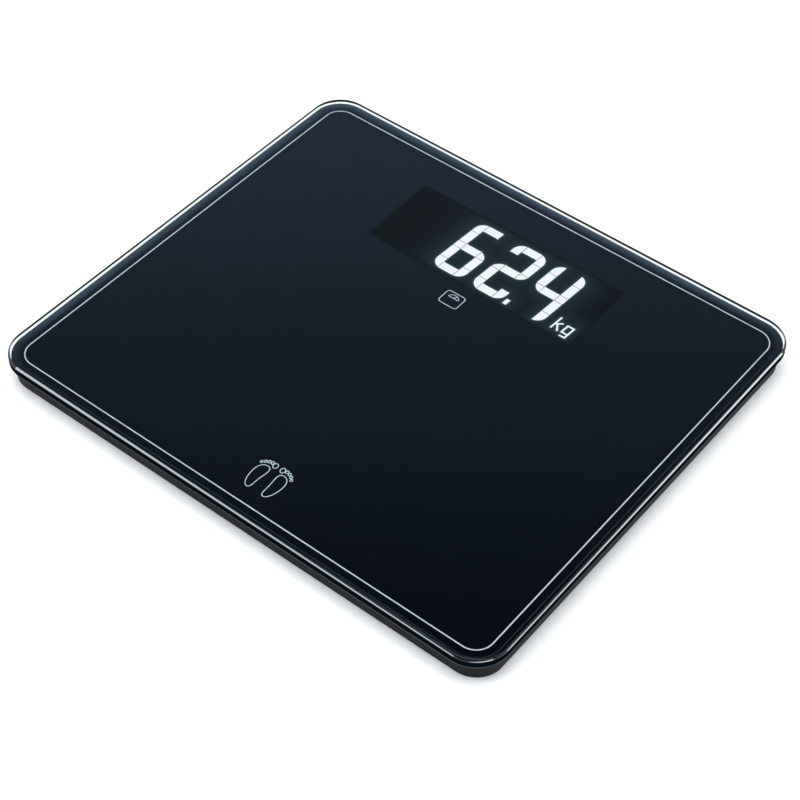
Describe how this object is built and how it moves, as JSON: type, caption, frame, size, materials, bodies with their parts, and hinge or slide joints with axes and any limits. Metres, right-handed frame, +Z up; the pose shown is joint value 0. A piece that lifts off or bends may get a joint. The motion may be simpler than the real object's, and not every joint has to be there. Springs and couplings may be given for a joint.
{
  "type": "digital bathroom scale",
  "caption": "Flat digital bathroom scale: rounded black glass platform with a bevelled edge and lit display, on a set-back plastic tray with four load-cell feet.",
  "frame": {"origin": "on the floor, under the middle of the glass platform, at the bottom of the rubber pads", "axes": "+X to the right of the person who reads the display, +Y away from that person towards the display, +Z up"},
  "size_m": [0.35, 0.307, 0.023],
  "materials": {
    "tempered_glass": "polished, ground and bevelled edge",
    "black_print": "black ceramic print seen through glass",
    "silver_print": "thin silver print",
    "smoked_film": "smoked translucent film",
    "tray_plastic": "fine spark-eroded grain",
    "tape_foam": "black foam tape",
    "cover_plastic": "fine grain",
    "battery_shell": "plain coloured sleeve",
    "contact_metal": "nickel plate",
    "red_wire": "silicone insulation",
    "black_wire": "silicone insulation",
    "button_plastic": "smooth satin",
    "chip_black": "moulded epoxy",
    "board_laminate": "solder mask",
    "can_metal": "drawn can",
    "plug_plastic": "nylon",
    "led_lens": "clear over yellow phosphor",
    "reflector_plastic": "dark moulding",
    "lit_lens": "white diffuser, lit",
    "dark_lens": "diffuser, unlit behind smoked film",
    "gasket_foam": "foam",
    "ribbon_grey": "ribbed flat cable",
    "holder_plastic": "natural nylon",
    "foot_plastic": "satin",
    "foot_rubber": "soft matte, fine rings",
    "cell_steel": "nickel-plated spring steel",
    "gauge_film": "polyimide film",
    "cable_sheath": "white PVC sheath",
    "screw_steel": "zinc plate"
  },
  "bodies": {
    "base": {"base_tray": "tray_plastic", "battery_contact_plates": "contact_metal", "battery_front": "battery_shell", "battery_lead_black": "black_wire", "battery_lead_red": "red_wire", "battery_middle": "battery_shell", "battery_rear": "battery_shell", "battery_springs": "contact_metal", "black_backing_print": "black_print", "board_plugs": "plug_plastic", "board_screws": "screw_steel", "capacitors": "can_metal", "controller_chip": "chip_black", "dark_segment_lenses": "dark_lens", "display_board": "board_laminate", "display_gasket": "gasket_foam", "display_leds": "led_lens", "display_reflector": "reflector_plastic", "display_ribbon": "ribbon_grey", "glass_top": "tempered_glass", "holder_screws": "screw_steel", "lit_segment_lenses": "lit_lens", "load_cell_front_left": "cell_steel", "load_cell_front_right": "cell_steel", "load_cell_holder_front_left": "holder_plastic", "load_cell_holder_front_right": "holder_plastic", "load_cell_holder_rear_left": "holder_plastic", "load_cell_holder_rear_right": "holder_plastic", "load_cell_rear_left": "cell_steel", "load_cell_rear_right": "cell_steel", "main_board": "board_laminate", "mounting_tape": "tape_foam", "quartz_crystal": "can_metal", "ribbon_plugs": "plug_plastic", "sensor_cable_front_left": "cable_sheath", "sensor_cable_front_right": "cable_sheath", "sensor_cable_rear_left": "cable_sheath", "sensor_cable_rear_right": "cable_sheath", "silver_border_print": "silver_print", "smoked_window": "smoked_film", "strain_gauge_front_left": "gauge_film", "strain_gauge_front_right": "gauge_film", "strain_gauge_rear_left": "gauge_film", "strain_gauge_rear_right": "gauge_film", "tact_switch": "chip_black", "wire_clips": "holder_plastic"},
    "foot_front_left": {"foot_cup_front_left": "foot_plastic", "rubber_pad_front_left": "foot_rubber"},
    "foot_front_right": {"foot_cup_front_right": "foot_plastic", "rubber_pad_front_right": "foot_rubber"},
    "foot_rear_left": {"foot_cup_rear_left": "foot_plastic", "rubber_pad_rear_left": "foot_rubber"},
    "foot_rear_right": {"foot_cup_rear_right": "foot_plastic", "rubber_pad_rear_right": "foot_rubber"},
    "battery_cover": {"battery_cover": "cover_plastic", "battery_cover_latch": "cover_plastic"},
    "unit_button": {"unit_button": "button_plastic", "switch_plunger": "button_plastic"}
  },
  "joints": [
    {"name": "foot_drop_front_left", "type": "slide", "parent": "base", "child": "foot_front_left", "axis": [0, 0, 1], "range_m": [-0.0003, 0]},
    {"name": "foot_drop_front_right", "type": "slide", "parent": "base", "child": "foot_front_right", "axis": [0, 0, 1], "range_m": [-0.0003, 0]},
    {"name": "foot_drop_rear_left", "type": "slide", "parent": "base", "child": "foot_rear_left", "axis": [0, 0, 1], "range_m": [-0.0003, 0]},
    {"name": "foot_drop_rear_right", "type": "slide", "parent": "base", "child": "foot_rear_right", "axis": [0, 0, 1], "range_m": [-0.0003, 0]},
    {"name": "battery_cover_hinge", "type": "hinge", "parent": "base", "child": "battery_cover", "pos_m": [-0.0283, -0.025, 0.003], "axis": [0, 1, 0], "range_deg": [0, 80], "deforming": ["battery_cover_latch"]},
    {"name": "unit_button_press", "type": "slide", "parent": "base", "child": "unit_button", "axis": [0, 0, 1], "range_m": [0, 0.0005], "stiffness_N_per_m": 3000}
  ]
}
